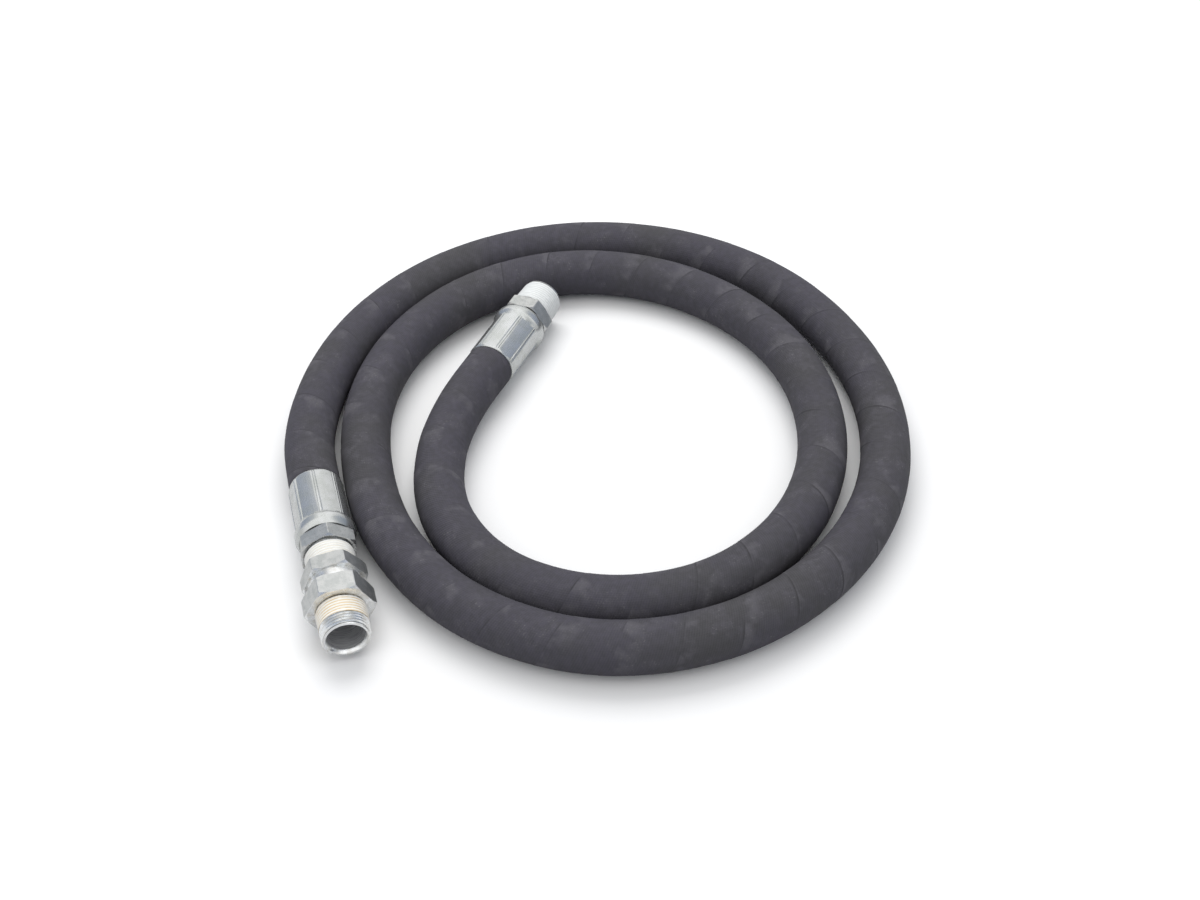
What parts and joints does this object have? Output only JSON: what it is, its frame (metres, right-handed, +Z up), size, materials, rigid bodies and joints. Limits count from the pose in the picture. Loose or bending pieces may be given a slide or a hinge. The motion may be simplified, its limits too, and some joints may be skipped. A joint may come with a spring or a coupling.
{
  "type": "hydraulic hose assembly",
  "caption": "Coiled hydraulic hose with crimped male threaded ends and a swivel coupling adapter on one end",
  "frame": {"origin": "the middle of the coil's eye, on the surface that the hose lies on", "axes": "+Z up, out of the flat coil; -Y along the swivel end's fitting, out of its mouth; +X across the coil, away from the swivel end"},
  "size_m": [0.4537, 0.4654, 0.0411],
  "materials": {
    "hose_cover": "matte cloth-wrapped synthetic rubber",
    "braid_wire": "brass-coated high-tensile wire braid",
    "inner_tube": "smooth black nitrile rubber",
    "ferrule_steel": "zinc-plated, crimped",
    "insert_steel": "zinc-plated, dull",
    "white_tape": "white thread sealing tape",
    "cream_tape": "soiled cream thread sealing tape",
    "coupling_steel": "zinc-plated, satin",
    "spring_wire": "plain spring wire"
  },
  "bodies": {
    "hose": {"hose_cover": "hose_cover", "hose_wire_braid": "braid_wire", "hose_inner_tube": "inner_tube", "swivel_end_ferrule": "ferrule_steel", "swivel_end_insert": "insert_steel", "swivel_end_thread_tape": "white_tape", "free_end_ferrule": "ferrule_steel", "free_end_insert": "insert_steel", "free_end_thread_tape": "white_tape"},
    "retaining_wire": {"nut_retaining_wire": "spring_wire"},
    "nut": {"swivel_nut": "coupling_steel"},
    "adapter": {"adapter_body": "coupling_steel", "adapter_thread_tape": "cream_tape"}
  },
  "joints": [
    {"name": "coupling_travel", "type": "slide", "parent": "hose", "child": "retaining_wire", "axis": [0, -1, 0], "range_m": [0, 0.00885]},
    {"name": "nut_turn", "type": "hinge", "parent": "retaining_wire", "child": "nut", "pos_m": [-0.21, -0.105, 0.0205], "axis": [0, -1, 0], "range_deg": [0, 1440]},
    {"name": "adapter_swivel", "type": "hinge", "parent": "retaining_wire", "child": "adapter", "pos_m": [-0.21, -0.13, 0.0205], "axis": [0, -1, 0], "continuous": true}
  ],
  "couplings": [
    {"joint": "coupling_travel", "follows": "nut_turn", "m_per_rad": 0.00035157}
  ]
}
